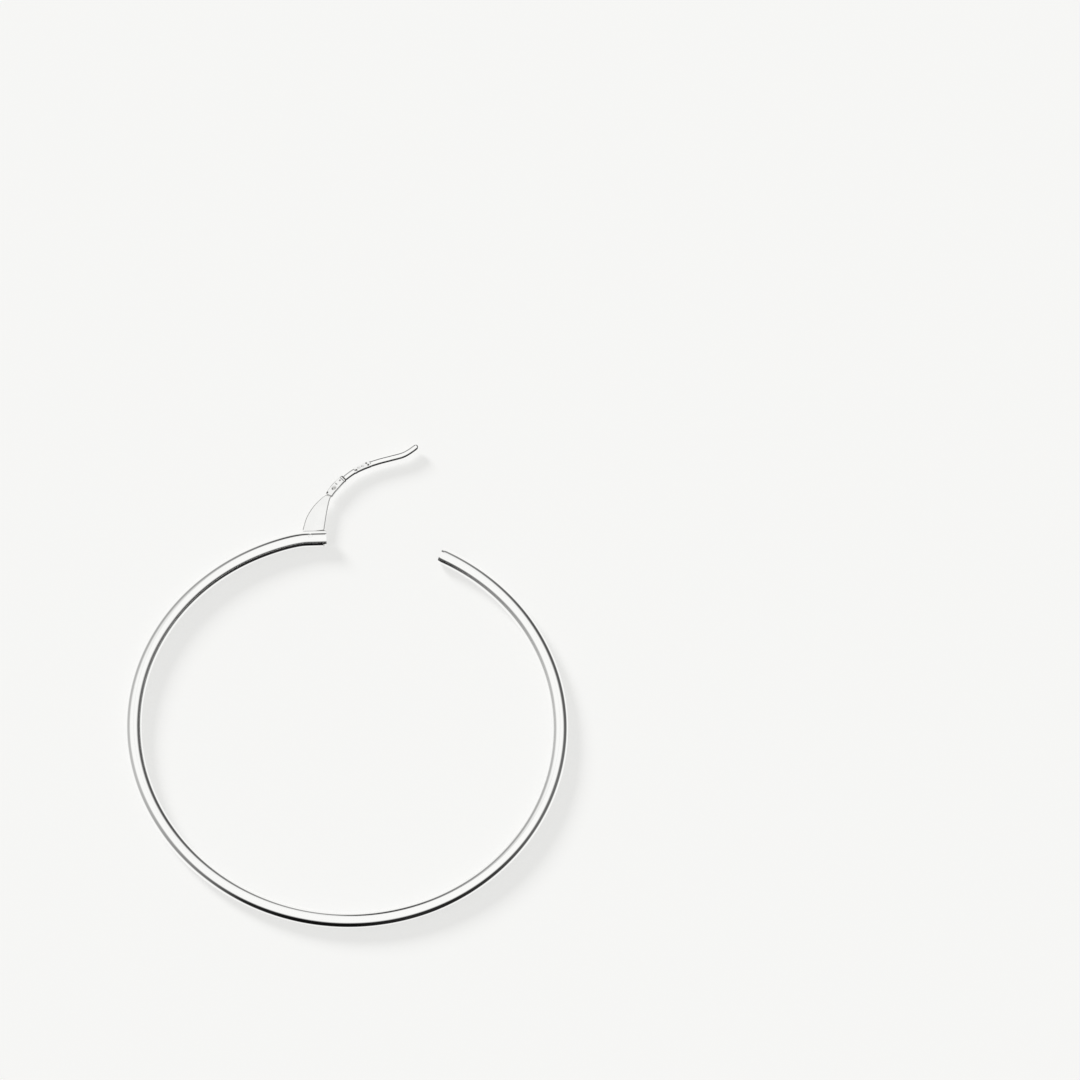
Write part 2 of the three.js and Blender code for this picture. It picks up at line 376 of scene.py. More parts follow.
def cut(obj, point, normal, where):
    """Bisects the faces of obj that pass a test."""
    pick(obj, "FACE", where)
    bpy.ops.mesh.bisect(plane_co=point, plane_no=normal)


def apply_modifier(obj, kind, **values):
    make_active(obj)
    modifier = obj.modifiers.new(kind.title(), kind)
    for name, value in values.items():
        setattr(modifier, name, value)
    bpy.ops.object.modifier_apply(modifier=modifier.name)


def combine(obj, tool, operation):
    """Joins or cuts obj with another piece, which is used up."""
    apply_modifier(obj, "BOOLEAN", object=tool, operation=operation, solver="EXACT")
    bpy.data.objects.remove(tool)


def round_edges(obj, width, segments=3, angle=math.radians(35)):
    apply_modifier(obj, "BEVEL", width=width, segments=segments, limit_method="ANGLE",
                   angle_limit=angle, use_clamp_overlap=True, miter_outer="MITER_ARC")


def upright_bar(name, centre, diameter, low, high, sides=48):
    """Round bar that stands square to the hoop's plane."""
    deselect_all()
    bpy.ops.mesh.primitive_cylinder_add(
        vertices=sides, radius=diameter / 2, depth=high - low,
        location=(centre.x, centre.y, (low + high) / 2))
    return start_piece(name)


def settle(obj, smooth=math.radians(32)):
    """Smooths a piece drawn in millimetres and puts it in place in the frame, in metres."""
    make_active(obj)
    shift = (PIVOT_IN_FRAME - plan().pivot) * MM
    obj.scale = (MM, MM, MM)
    obj.location = shift
    bpy.ops.object.transform_apply(location=True, rotation=True, scale=True)
    bpy.ops.object.shade_smooth_by_angle(angle=smooth)


LEVEL = 0.9995  # upright part of a face's normal above which the face is level


def crease_flats(obj):
    """Keeps the flat faces of a piece truly flat in their shading, up to their rounded edges."""
    pick(obj, "FACE", lambda centre: False)
    bpy.ops.object.mode_set(mode="OBJECT")
    for face in obj.data.polygons:
        face.select = abs(face.normal.z) > LEVEL
    bpy.ops.object.mode_set(mode="EDIT")
    bpy.ops.mesh.region_to_loop()
    bpy.ops.mesh.mark_sharp()
    bpy.ops.object.mode_set(mode="OBJECT")


# ---- Pieces ---------------------------------------------------------------------------------

TUBE_SIDES = 48
ARC_STEPS = 300
BEND_STEPS = 12
END_STEPS = 16
BEND_FROM = 0.22  # angle past the hinge end at which the arc gives way to the bend
STRAIGHT_FROM = 2.1  # the end is fully straight up to here
NEAR_SLOT = 3.0  # faces this near the pivot are cut for the slot
NEAR_NOTCH = 4.0  # faces this near the free end are cut for the notch
NEAR_OPEN_END = 5.0  # open edges this near an end are bridged to close its wall
THROUGH = 1.5  # how far a hole's bar reaches above and below the middle plane
PIN_SPARE = 0.2  # pin length past the tube, which the tube's profile trims off
PIN_SUNK = 0.005  # how far the pin's ends lie below the tube's surface
PIN_ROUNDING = 0.02


def hoop_end_path(place):
    """Middle points from the arc, through a soft bend, to the end face at the hinge."""
    start_angle = place.hinge_angle + BEND_FROM
    start = on_circle(start_angle, place.mid_radius)
    heading = start_angle - math.pi / 2
    finish = place.straight(STRAIGHT_FROM)
    ahead = place.heading + math.pi
    # Control point of the bend: where the arc's tangent meets the straight end's line.
    first, second = on_circle(heading, 1), on_circle(ahead, 1)
    gap = finish - start
    reach = (gap.x * second.y - gap.y * second.x) / (first.x * second.y - first.y * second.x)
    corner = start + first * reach
    points = []
    for step in range(BEND_STEPS + 1):
        t = step / BEND_STEPS
        point = start * (1 - t) ** 2 + corner * 2 * t * (1 - t) + finish * t * t
        way = (corner - start) * (1 - t) + (finish - corner) * t
        points.append((point, math.atan2(way.y, way.x)))
    for step in range(1, END_STEPS + 1):
        points.append((place.straight(STRAIGHT_FROM * (1 - step / END_STEPS)), ahead))
    return start_angle, points


class EARRING_OT_hoop_tube(bpy.types.Operator):
    """Models the hollow tube of the hoop, with its hinge slot and its notch"""

    bl_idname = "earring.hoop_tube"
    bl_label = "Hoop Tube"

    def execute(self, context):
        hoop, hinge = context.scene.hoop_settings, context.scene.hinge_settings
        place = plan()
        outside, inside = hoop.tube_diameter / MM, hoop.bore_diameter / MM
        start_angle, end_path = hoop_end_path(place)
        upright = (math.pi / 2, 0.0, start_angle)
        start = on_circle(start_angle, place.mid_radius)
        deselect_all()
        bpy.ops.mesh.primitive_circle_add(vertices=TUBE_SIDES, radius=outside / 2,
                                          location=start, rotation=upright)
        tube = start_piece("silver_hoop")
        edit(tube)
        bpy.ops.mesh.primitive_circle_add(vertices=TUBE_SIDES, radius=inside / 2,
                                          location=start, rotation=upright)
        bpy.ops.mesh.select_all(action="SELECT")
        bpy.ops.mesh.spin(steps=ARC_STEPS, angle=-(place.free_angle - start_angle),
                          center=(0, 0, 0), axis=UP)
        self.draw_hinge_end(tube, place, end_path)
        self.cut_slot(tube, place, hinge)
        self.cut_notch(tube, place, hoop)
        self.close_wall(tube, place)
        round_edges(tube, hoop.edge / MM)
        hole = upright_bar("pin_hole", place.pivot, hinge.hole_diameter / MM,
                            -THROUGH, THROUGH)
        combine(tube, hole, "DIFFERENCE")
        settle(tube)
        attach(tube, "hoop")
        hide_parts("hoop_tube")
        tube.data.materials.append(polished_silver(context))
        return {"FINISHED"}

    @staticmethod
    def draw_hinge_end(tube, place, end_path):
        first = end_path[0][0]
        way = on_circle(end_path[0][1], 1)
        pick(tube, "VERT", lambda co: abs((co - first).dot(way)) < 1e-3
             and (co - first).length < 2)
        draw_sections([(point, heading, 1.0, 1.0) for point, heading in end_path])
        done_editing()

    @staticmethod
    def cut_slot(tube, place, hinge):
        half, length = hinge.slot_width / MM / 2, hinge.slot_length / MM

        def near(co):
            return (co - place.pivot).length < NEAR_SLOT

        cut(tube, (0, 0, half), UP, near)
        cut(tube, (0, 0, -half), UP, near)
        cut(tube, place.straight(length), on_circle(place.heading, 1), near)
        relief = hinge.relief_length / MM
        cut(tube, place.straight(relief), on_circle(place.heading, 1), near)
        outward = on_circle(place.heading - math.pi / 2, 1)
        pick(tube, "FACE", lambda co: near(co) and abs(co.z) < half and place.back_from_end(co)
             < (length if (co - place.end).dot(outward) > 0 else relief))
        bpy.ops.mesh.delete(type="FACE")
        done_editing()

    @staticmethod
    def cut_notch(tube, place, hoop):
        half, length = hoop.notch_width / MM / 2, hoop.notch_length / MM
        end = on_circle(place.free_angle, place.mid_radius)
        inward = on_circle(place.free_angle - math.pi / 2, 1)

        def near(co):
            return (co - end).length < NEAR_NOTCH

        cut(tube, (0, 0, half), UP, near)
        cut(tube, (0, 0, -half), UP, near)
        cut(tube, end + inward * length, inward, near)
        pick(tube, "FACE", lambda co: near(co) and abs(co.z) < half
             and place.back_from_free_end(co) < length and co.length > place.mid_radius)
        bpy.ops.mesh.delete(type="FACE")
        done_editing()

    @staticmethod
    def close_wall(tube, place):
        for end in (place.end, on_circle(place.free_angle, place.mid_radius)):
            edit(tube)
            bpy.ops.mesh.select_mode(type="EDGE")
            bpy.ops.mesh.select_non_manifold(extend=False, use_wire=False, use_boundary=True,
                                             use_multi_face=False, use_non_contiguous=False,
                                             use_verts=False)
            done_editing()
            vertices = tube.data.vertices
            for edge in tube.data.edges:
                if (vertices[edge.vertices[0]].co - end).length > NEAR_OPEN_END:
                    edge.select = False
            bpy.ops.object.mode_set(mode="EDIT")
            bpy.ops.mesh.bridge_edge_loops()
            done_editing()
        edit(tube)
        bpy.ops.mesh.select_all(action="SELECT")
        bpy.ops.mesh.normals_make_consistent(inside=False)
        done_editing()


class EARRING_OT_hinge_pin(bpy.types.Operator):
    """Models the hinge pin, with ends filed flush with the tube"""

    bl_idname = "earring.hinge_pin"
    bl_label = "Hinge Pin"

    def execute(self, context):
        hoop, hinge = context.scene.hoop_settings, context.scene.hinge_settings
        place = plan()
        reach = hoop.tube_diameter / MM / 2
        pin = upright_bar("silver_hinge_pin", place.pivot, hinge.pin_diameter / MM,
                          -reach - PIN_SPARE, reach + PIN_SPARE)
        deselect_all()
        bpy.ops.mesh.primitive_cylinder_add(
            vertices=4 * TUBE_SIDES, radius=reach - PIN_SUNK, depth=4.0,
            location=place.pivot, rotation=(0.0, math.pi / 2, place.heading))
        profile = start_piece("pin_profile")
        combine(pin, profile, "INTERSECT")
        round_edges(pin, PIN_ROUNDING, segments=2)
        settle(pin)
        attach(pin, "hoop")
        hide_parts("hinge_pin")
        pin.data.materials.append(polished_silver(context))
        return {"FINISHED"}


BLADE_PARTS = 5
FOOT_STEPS = 12
WIRE_SIDES = 40
WIRE_STEP = 0.12
BLADE_TOP = 0.5  # distance along the wire at which the blade gives way to the neck
NEAR_WIRE = 0.6  # faces this near the middle line belong to the wire
PRESSED_BELOW = 34.5  # no flat lies beyond this, up the hoop's plane
TIP_STEPS = 8
ROUNDED_FROM = 23.4  # the blade's edges are rounded above this, and left sharp in the bore
SHOULDER_SHARE = 0.8  # how far up the back edge's straight run the shoulder's chord ends


def blade_chords(place, foot_radius):
    """(front, back) point pairs up the blade, from under its foot to its top."""
    back = curve_through(BLADE_BACK, BLADE_PARTS)
    spans = len(back) - 1
    front_line = curve_through(BLADE_FRONT, 4 * BLADE_PARTS)
    reach = curve_length(front_line)
    front = [along_curve(front_line, reach * step / spans)[0] for step in range(spans + 1)]
    chords = []
    pivot = place.pivot

    def touch(point, side):
        gap = point - pivot
        return math.atan2(gap.y, gap.x) + side * math.acos(foot_radius / gap.length)

    shoulder = Vector((*BLADE_SHOULDER, 0.0))
    back_angle, front_angle = touch(back[0], 1), touch(shoulder, -1)
    under = (back_angle + front_angle) / 2 + math.pi
    if math.cos(under - math.atan2(back[0].y - pivot.y, back[0].x - pivot.x)) > 0:
        under -= math.pi
    spread_back = (under - back_angle) % (2 * math.pi)
    spread_front = (front_angle - under) % (2 * math.pi)
    for step in range(FOOT_STEPS):
        share = 1 - (step + 0.4) / (FOOT_STEPS - 0.6)
        chords.append((pivot + on_circle(front_angle - spread_front * share, foot_radius),
                       pivot + on_circle(back_angle + spread_back * share, foot_radius)))
    foot_back = pivot + on_circle(back_angle, foot_radius)
    chords.append((shoulder, foot_back + (back[0] - foot_back) * SHOULDER_SHARE))
    chords += list(zip(front, back))
    return chords


class EARRING_OT_ear_wire(bpy.types.Operator):
    """Models the ear wire: blade, pressed neck, round wire and rounded tip"""

    bl_idname = "earring.ear_wire"
    bl_label = "Ear Wire"

    def execute(self, context):
        wire = context.scene.wire_settings
        place = plan()
        piece = self.draw_blade(place, wire)
        line = curve_through(WIRE_ROUTE, 24)
        rod = self.draw_wire(line)
        self.press_flats(rod, line)
        self.punch_marks(rod, line)
        combine(piece, rod, "UNION")
        settle(piece)
        crease_flats(piece)
        self.paint_wire_shade(piece, line)
        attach(piece, "lever")
        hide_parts("ear_wire")
        piece.data.materials.append(wire_silver(context))
        return {"FINISHED"}

    @staticmethod
    def draw_blade(place, wire):
        chords = []
        for front, back in blade_chords(place, wire.foot_radius / MM):
            across = back - front
            heading = math.atan2(across.y, across.x) - math.pi / 2
            chords.append(((front + back) / 2, heading, across.length, 1.0))
        deselect_all()
        bpy.ops.mesh.primitive_plane_add(size=1.0, location=(0, 0, 0))
        blade = start_piece("silver_ear_wire")
        pick(blade, "VERT", lambda co: co.x < 0)
        place_section((Vector((-0.5, 0, 0)), 0.0, 1.0, 1.0), chords[0])
        pick(blade, "VERT", lambda co: abs(co.x - 0.5) < 1e-4 and abs(co.y) < 0.6)
        place_section((Vector((0.5, 0, 0)), 0.0, 1.0, 1.0), chords[1])
        draw_sections(chords[1:])
        done_editing()
        apply_modifier(blade, "SOLIDIFY", thickness=wire.blade_thickness / MM, offset=0.0)
        hole = upright_bar("blade_hole", place.pivot, wire.hole_diameter / MM,
                            -THROUGH, THROUGH)
        combine(blade, hole, "DIFFERENCE")
        face_height = wire.blade_thickness / MM / 2
        pick(blade, "FACE", lambda centre: abs(centre.z) > 0.99 * face_height)
        bpy.ops.mesh.region_to_loop()
        bpy.ops.object.mode_set(mode="OBJECT")
        for edge in blade.data.edges:
            if min(blade.data.vertices[index].co.y for index in edge.vertices) < ROUNDED_FROM:
                edge.select = False
        bpy.ops.object.mode_set(mode="EDIT")
        bpy.ops.mesh.bevel(offset=wire.edge / MM, segments=3, affect="EDGES",
                           clamp_overlap=False)
        done_editing()
        return blade

    @staticmethod
    def draw_wire(line):
        length = curve_length(line)
        radius = between(WIRE_WIDTHS, length) / 2
        stops = sorted({at for at, _ in WIRE_WIDTHS if at < length - radius}
                       | {step * WIRE_STEP for step in range(int((length - radius) / WIRE_STEP))}
                       | {length - radius})
        stops = [stop for stop, after in zip(stops, [*stops[1:], 99.0]) if after - stop > 0.02]
        sections = []
        for stop in stops:
            middle, heading = along_curve(line, stop)
            width = between(WIRE_WIDTHS, stop)
            sections.append((middle, heading, width, width))
        for step in range(1, TIP_STEPS):
            bend = step / TIP_STEPS * math.pi / 2
            middle, heading = along_curve(line, length - radius + radius * math.sin(bend))
            size = 2 * radius * math.cos(bend)
            sections.append((middle, heading, size, size))
        deselect_all()
        bpy.ops.mesh.primitive_circle_add(vertices=WIRE_SIDES, radius=0.5, location=(0, 0, 0),
                                          rotation=(math.pi / 2, 0.0, math.pi / 2))
        rod = start_piece("round_wire")
        edit(rod)
        bpy.ops.mesh.select_all(action="SELECT")
        place_section((Vector((0, 0, 0)), 0.0, 1.0, 1.0), sections[0])
        bpy.ops.mesh.edge_face_add()
        draw_sections(sections)
        done_editing()
        edit(rod)
        bpy.ops.mesh.select_all(action="SELECT")
        bpy.ops.mesh.normals_make_consistent(inside=False)
        done_editing()
        return rod

    @staticmethod
    def press_flats(rod, line):
        """Presses stretches of the wire flat from above and below."""
        find = place_finder(line, 0.02, 8)
        places = {vertex.index: find(vertex.co)[0] for vertex in rod.data.vertices
                  if vertex.co.y < PRESSED_BELOW}
        for low, high, thickness in PRESSED:
            for side in (-1, 1):
                bpy.ops.object.mode_set(mode="EDIT")
                bpy.ops.mesh.select_mode(type="VERT")
                bpy.ops.mesh.select_all(action="DESELECT")
                bpy.ops.object.mode_set(mode="OBJECT")
                for vertex in rod.data.vertices:
                    vertex.select = (low <= places.get(vertex.index, 99.0) < high
                                     and vertex.co.z * side > thickness / 2)
                bpy.ops.object.mode_set(mode="EDIT")
                bpy.ops.transform.resize(value=(1.0, 1.0, 0.0),
                                         center_override=(0.0, 0.0, side * thickness / 2))
                bpy.ops.object.mode_set(mode="OBJECT")

    @staticmethod
    def mark_place(line, mark):
        """(middle, heading) of a punched mark, on the flat that it stands on."""
        at, across = mark[:2]
        middle, heading = along_curve(line, at)
        middle = middle + on_circle(heading + math.pi / 2, across)
        middle.z = next(t for low, high, t in reversed(PRESSED) if low <= at) / 2
        return middle, heading

    def punch_marks(self, rod, line):
        for mark in MARKS:
            length, width, depth = mark[2:5]
            middle, heading = self.mark_place(line, mark)
            deselect_all()
            bpy.ops.mesh.primitive_cone_add(
                vertices=24, radius1=0.3, radius2=0.7, depth=2.0, location=middle,
                rotation=(0.0, 0.0, heading))
            bpy.context.object.scale = (length, width, depth)
            punch = start_piece("punch")
            combine(rod, punch, "DIFFERENCE")

    @staticmethod
    def side_shade(at, off, upright):
        """Painted shade of a face beside a flat, or on the step, by its place and its slope."""
        if off < NEAR_WIRE and BLADE_TOP < at < PRESSED[-1][1]:
            if STEP_AT[0] < at <= STEP_AT[1] and 0.2 < upright < 0.98:
                return 1.0
            return PRESSED_SIDE_SHADE if at < STEP_AT[0] and upright < 0.97 else 0.0
        return BLADE_EDGE_SHADE if at < BLADE_TOP and 0.1 < upright < 0.98 else 0.0

    def paint_wire_shade(self, piece, line):
        """Attribute of painted shade on the ear wire: in its marks, on its sides, on its step."""
        shift = PIVOT_IN_FRAME - plan().pivot
        places = [(*self.mark_place(line, mark), mark) for mark in MARKS]
        find = place_finder(line, 0.05, 7)
        values = []
        for face in piece.data.polygons:
            centre = face.center / MM - shift
            tarnish_and_shade = self.side_shade(*find(centre), abs(face.normal.z))
            for middle, heading, mark in places:
                gap = centre - middle
                along = gap.dot(on_circle(heading, 1)) / mark[2]
                across = gap.dot(on_circle(heading + math.pi / 2, 1)) / mark[3]
                if along ** 2 + across ** 2 < 0.3 and -1.5 * mark[4] < gap.z < -0.005:
                    tarnish_and_shade = max(tarnish_and_shade, mark[5])
            values.append(tarnish_and_shade)
        layer = piece.data.attributes.new("tarnish_and_shade_mask", "FLOAT", "FACE")
        layer.data.foreach_set("value", values)


# ---- Finishes -------------------------------------------------------------------------------

WAVES, HAIRLINES, CLOUDS = 260.0, 6500.0, 420.0  # soft waves, fine lines and haze, per metre
SQUEEZE = 0.12  # how much the polish is drawn out along the tube
HAZE_SHADE = 0.96  # brightness of the silver where it is hazy
HAZE_ROUGHNESS = 0.06
DULL_ROUGHNESS = 0.22


class Nodes:
    """Short hand for wiring a node tree."""

    def __init__(self, tree):
        self.tree = tree

    def add(self, kind, inputs=None, **values):
        node = self.tree.nodes.new(kind)
        for name, value in values.items():
            setattr(node, name, value)
        for name, value in (inputs or {}).items():
            self.feed(node.inputs[name], value)
        return node

    def feed(self, socket, value):
        if isinstance(value, bpy.types.NodeSocket):
            self.tree.links.new(value, socket)
        else:
            socket.default_value = value

    def math(self, operation, first, second=0.0, third=None):
        node = self.add("ShaderNodeMath", {0: first, 1: second}, operation=operation)
        if third is not None:
            self.feed(node.inputs[2], third)
        return node.outputs[0]

    def mix(self, factor, first, second):
        node = self.add("ShaderNodeMix", {0: factor}, data_type="RGBA")
        self.feed(node.inputs[6], first)
        self.feed(node.inputs[7], second)
        return node.outputs[2]


def opaque(colour):
    return (*colour, 1.0)


def new_group(name, inputs, outputs):
    """New shader node group with named sockets, as (nodes, its input node, its output node)."""
    group = bpy.data.node_groups.new(name, "ShaderNodeTree")
    for socket, kind, value in inputs:
        item = group.interface.new_socket(socket, in_out="INPUT", socket_type=kind)
        if value is not None:
            item.default_value = value
    for socket, kind in outputs:
        group.interface.new_socket(socket, in_out="OUTPUT", socket_type=kind)
    nodes = Nodes(group)
    start = nodes.add("NodeGroupInput")
    finish = nodes.add("NodeGroupOutput")
    return nodes, start, finish


def hand_polish_group():
    """Group for the soft unevenness, hairlines and handling haze of hand-polished silver."""
    name = "Hand Polish"
    if name in bpy.data.node_groups:
        return bpy.data.node_groups[name]
    nodes, start, finish = new_group(
        name,
        [("Vector", "NodeSocketVector", None), ("Waviness", "NodeSocketFloat", 0.5),
         ("Hairlines", "NodeSocketFloat", 0.5), ("Haze", "NodeSocketFloat", 0.5)],
        [("Height", "NodeSocketFloat"), ("Haze", "NodeSocketFloat")])
    vector = start.outputs["Vector"]
    waves = nodes.add("ShaderNodeTexNoise", {"Vector": vector, "Scale": WAVES, "Detail": 1.0})
    lines = nodes.add("ShaderNodeTexNoise", {"Vector": vector, "Scale": HAIRLINES, "Detail": 3.0})
    cloud = nodes.add("ShaderNodeTexNoise", {"Vector": vector, "Scale": CLOUDS, "Detail": 4.0})
    height = nodes.math("MULTIPLY", waves.outputs["Fac"], start.outputs["Waviness"])
    fine = nodes.math("MULTIPLY", lines.outputs["Fac"], start.outputs["Hairlines"])
    nodes.feed(finish.inputs["Height"], nodes.math("ADD", height, fine))
    patchy = nodes.add("ShaderNodeMapRange",
                       {"Value": cloud.outputs["Fac"], "From Min": 0.42, "From Max": 0.72})
    nodes.feed(finish.inputs["Haze"],
               nodes.math("MULTIPLY", patchy.outputs[0], start.outputs["Haze"]))
    return nodes.tree


def tube_place_group():
    """Group that turns a place in the hoop into distance round it, and distance from its middle."""
    name = "Place In Tube"
    if name in bpy.data.node_groups:
        return bpy.data.node_groups[name]
    nodes, start, finish = new_group(
        name,
        [("Vector", "NodeSocketVector", None), ("Mid Radius", "NodeSocketFloat", 0.02)],
        [("Vector", "NodeSocketVector"), ("From Middle", "NodeSocketFloat")])
    parts = nodes.add("ShaderNodeSeparateXYZ", {0: start.outputs["Vector"]})
    x, y, z = parts.outputs
    out = nodes.math("SQRT", nodes.math("ADD", nodes.math("MULTIPLY", x, x),
                                        nodes.math("MULTIPLY", y, y)))
    beyond = nodes.math("SUBTRACT", out, start.outputs["Mid Radius"])
    angle = nodes.math("ARCTAN2", y, x)
    round_hoop = nodes.math("MULTIPLY", angle, start.outputs["Mid Radius"])
    # Squeezed along the tube, so that what is drawn with it runs along the tube.
    run = nodes.math("MULTIPLY", round_hoop, SQUEEZE)
    joined = nodes.add("ShaderNodeCombineXYZ", {0: run, 1: beyond, 2: z})
    nodes.feed(finish.inputs["Vector"], joined.outputs[0])
    middle = nodes.math("SQRT", nodes.math("ADD", nodes.math("MULTIPLY", beyond, beyond),
                                           nodes.math("MULTIPLY", z, z)))
    nodes.feed(finish.inputs["From Middle"], middle)
    return nodes.tree


def silver_shader(nodes, finish, vector, tarnish_and_shade_mask, tarnish_and_shade, waviness, hairlines, haze):
    """Principled silver with hand polish, in a darker colour where the mask is 1."""
    polish = nodes.add("ShaderNodeGroup", node_tree=hand_polish_group())
    for socket, value in (("Vector", vector), ("Waviness", waviness),
                          ("Hairlines", hairlines), ("Haze", haze)):
        nodes.feed(polish.inputs[socket], value)
    cloud = polish.outputs["Haze"]
    hazy = [channel * HAZE_SHADE for channel in finish.silver]
    bright = nodes.mix(cloud, opaque(finish.silver), opaque(hazy))
    # The mask turns the silver to the darker colour: tarnish inside the tube, painted shade on the
    # ear wire.
    colour = nodes.mix(tarnish_and_shade_mask, bright, opaque(tarnish_and_shade))
    rough = nodes.math("MULTIPLY_ADD", cloud, HAZE_ROUGHNESS, finish.polish)
    rough = nodes.math("MULTIPLY_ADD", tarnish_and_shade_mask, DULL_ROUGHNESS, rough)
    bump = nodes.add("ShaderNodeBump", {"Height": polish.outputs["Height"], "Strength": 0.35,
                                        "Distance": 0.00002})
    shader = nodes.add("ShaderNodeBsdfPrincipled",
                       {"Base Color": colour, "Metallic": 1.0, "Roughness": rough,
                        "Normal": bump.outputs[0]})
    output = nodes.add("ShaderNodeOutputMaterial")
    nodes.tree.links.new(shader.outputs[0], output.inputs[0])


def new_material(name):
    material = bpy.data.materials.new(name)
    material.use_nodes = True
    material.node_tree.nodes.clear()
    return material, Nodes(material.node_tree)


def centred(nodes):
    """Object coordinates, measured from the hoop's centre."""
    shift = (PIVOT_IN_FRAME - plan().pivot) * MM
    coordinates = nodes.add("ShaderNodeTexCoord")
    mapping = nodes.add("ShaderNodeMapping", {"Vector": coordinates.outputs["Object"],
                                              "Location": -shift})
    return mapping.outputs[0]


def polished_silver(context):
    """Bright polish of the hoop, dull inside the bore and on the cut walls of its slots."""
    name = "Polished silver"
    if name in bpy.data.materials:
        return bpy.data.materials[name]
    material, nodes = new_material(name)
    hoop, finish = context.scene.hoop_settings, context.scene.finish_settings
    place = nodes.add("ShaderNodeGroup", node_tree=tube_place_group())
    nodes.feed(place.inputs["Vector"], centred(nodes))
    nodes.feed(place.inputs["Mid Radius"], hoop.mid_diameter / 2)
    radius = hoop.tube_diameter / 2
    inside = nodes.add("ShaderNodeMapRange",
                       {"Value": place.outputs["From Middle"], "From Min": radius - 0.12 * MM,
                        "From Max": radius - 0.3 * MM})
    silver_shader(nodes, finish, place.outputs["Vector"], inside.outputs[0], finish.tarnish,
                  0.6, 0.02, 0.5)
    return material


def wire_silver(context):
    """Polish of the ear wire, with painted shade in its marks, on its edges and on its step."""
    name = "Wire silver"
    if name in bpy.data.materials:
        return bpy.data.materials[name]
    material, nodes = new_material(name)
    finish = context.scene.finish_settings
    vector = centred(nodes)
    # Painted shade: the attribute lays the dark corner colour in the marks, on the edges and on the
    # step.
    tarnish_and_shade_mask = nodes.add("ShaderNodeAttribute", attribute_name="tarnish_and_shade_mask")
    silver_shader(nodes, finish, vector, tarnish_and_shade_mask.outputs["Fac"], finish.corner, 0.6, 0.03, 0.6)
    return material


# ---- Stage ----------------------------------------------------------------------------------


# The dark band low down round the white room, as (degrees round from +X, height of its middle
# above the floor's plane, half its height, depth of its darkness). It is deepest on the near
# side, where the table ends, and rises to a thin line on the far side.
DARK_BAND = ((180, 5, 24, 0.48), (200, 6, 26, 0.62), (225, -4, 25, 0.84), (240, -14, 33, 0.98),
             (260, -17, 38, 0.995), (285, -20, 39, 0.995), (298, -20, 37, 0.985),
             (310, -20, 37, 0.98), (322, -19, 38, 0.985), (340, -7, 31, 0.96),
             (360, 1, 25, 0.88), (380, 8, 25, 0.85),
             (400, 9, 25, 0.89), (425, 19, 22, 0.92),
             (440, 32, 14, 0.86), (453, 41, 8, 0.9), (458.7, 41, 8, 0.9), (460, 47, 13, 0.99),
             (463, 46, 14, 0.99), (467, 43, 14, 0.96), (472, 42, 11, 0.86), (482, 37, 11, 0.7),
             (500, 22, 16, 0.58), (515, 9, 20, 0.5),
             (528, 4, 22, 0.48), (540, 5, 24, 0.48))
BAND_SOFTNESS = 11.0
FLOOR_SIZE = 6.0
KEY_FROM = (-0.75, 0.55, 0.45)
KEY_WIDTH = math.radians(18)


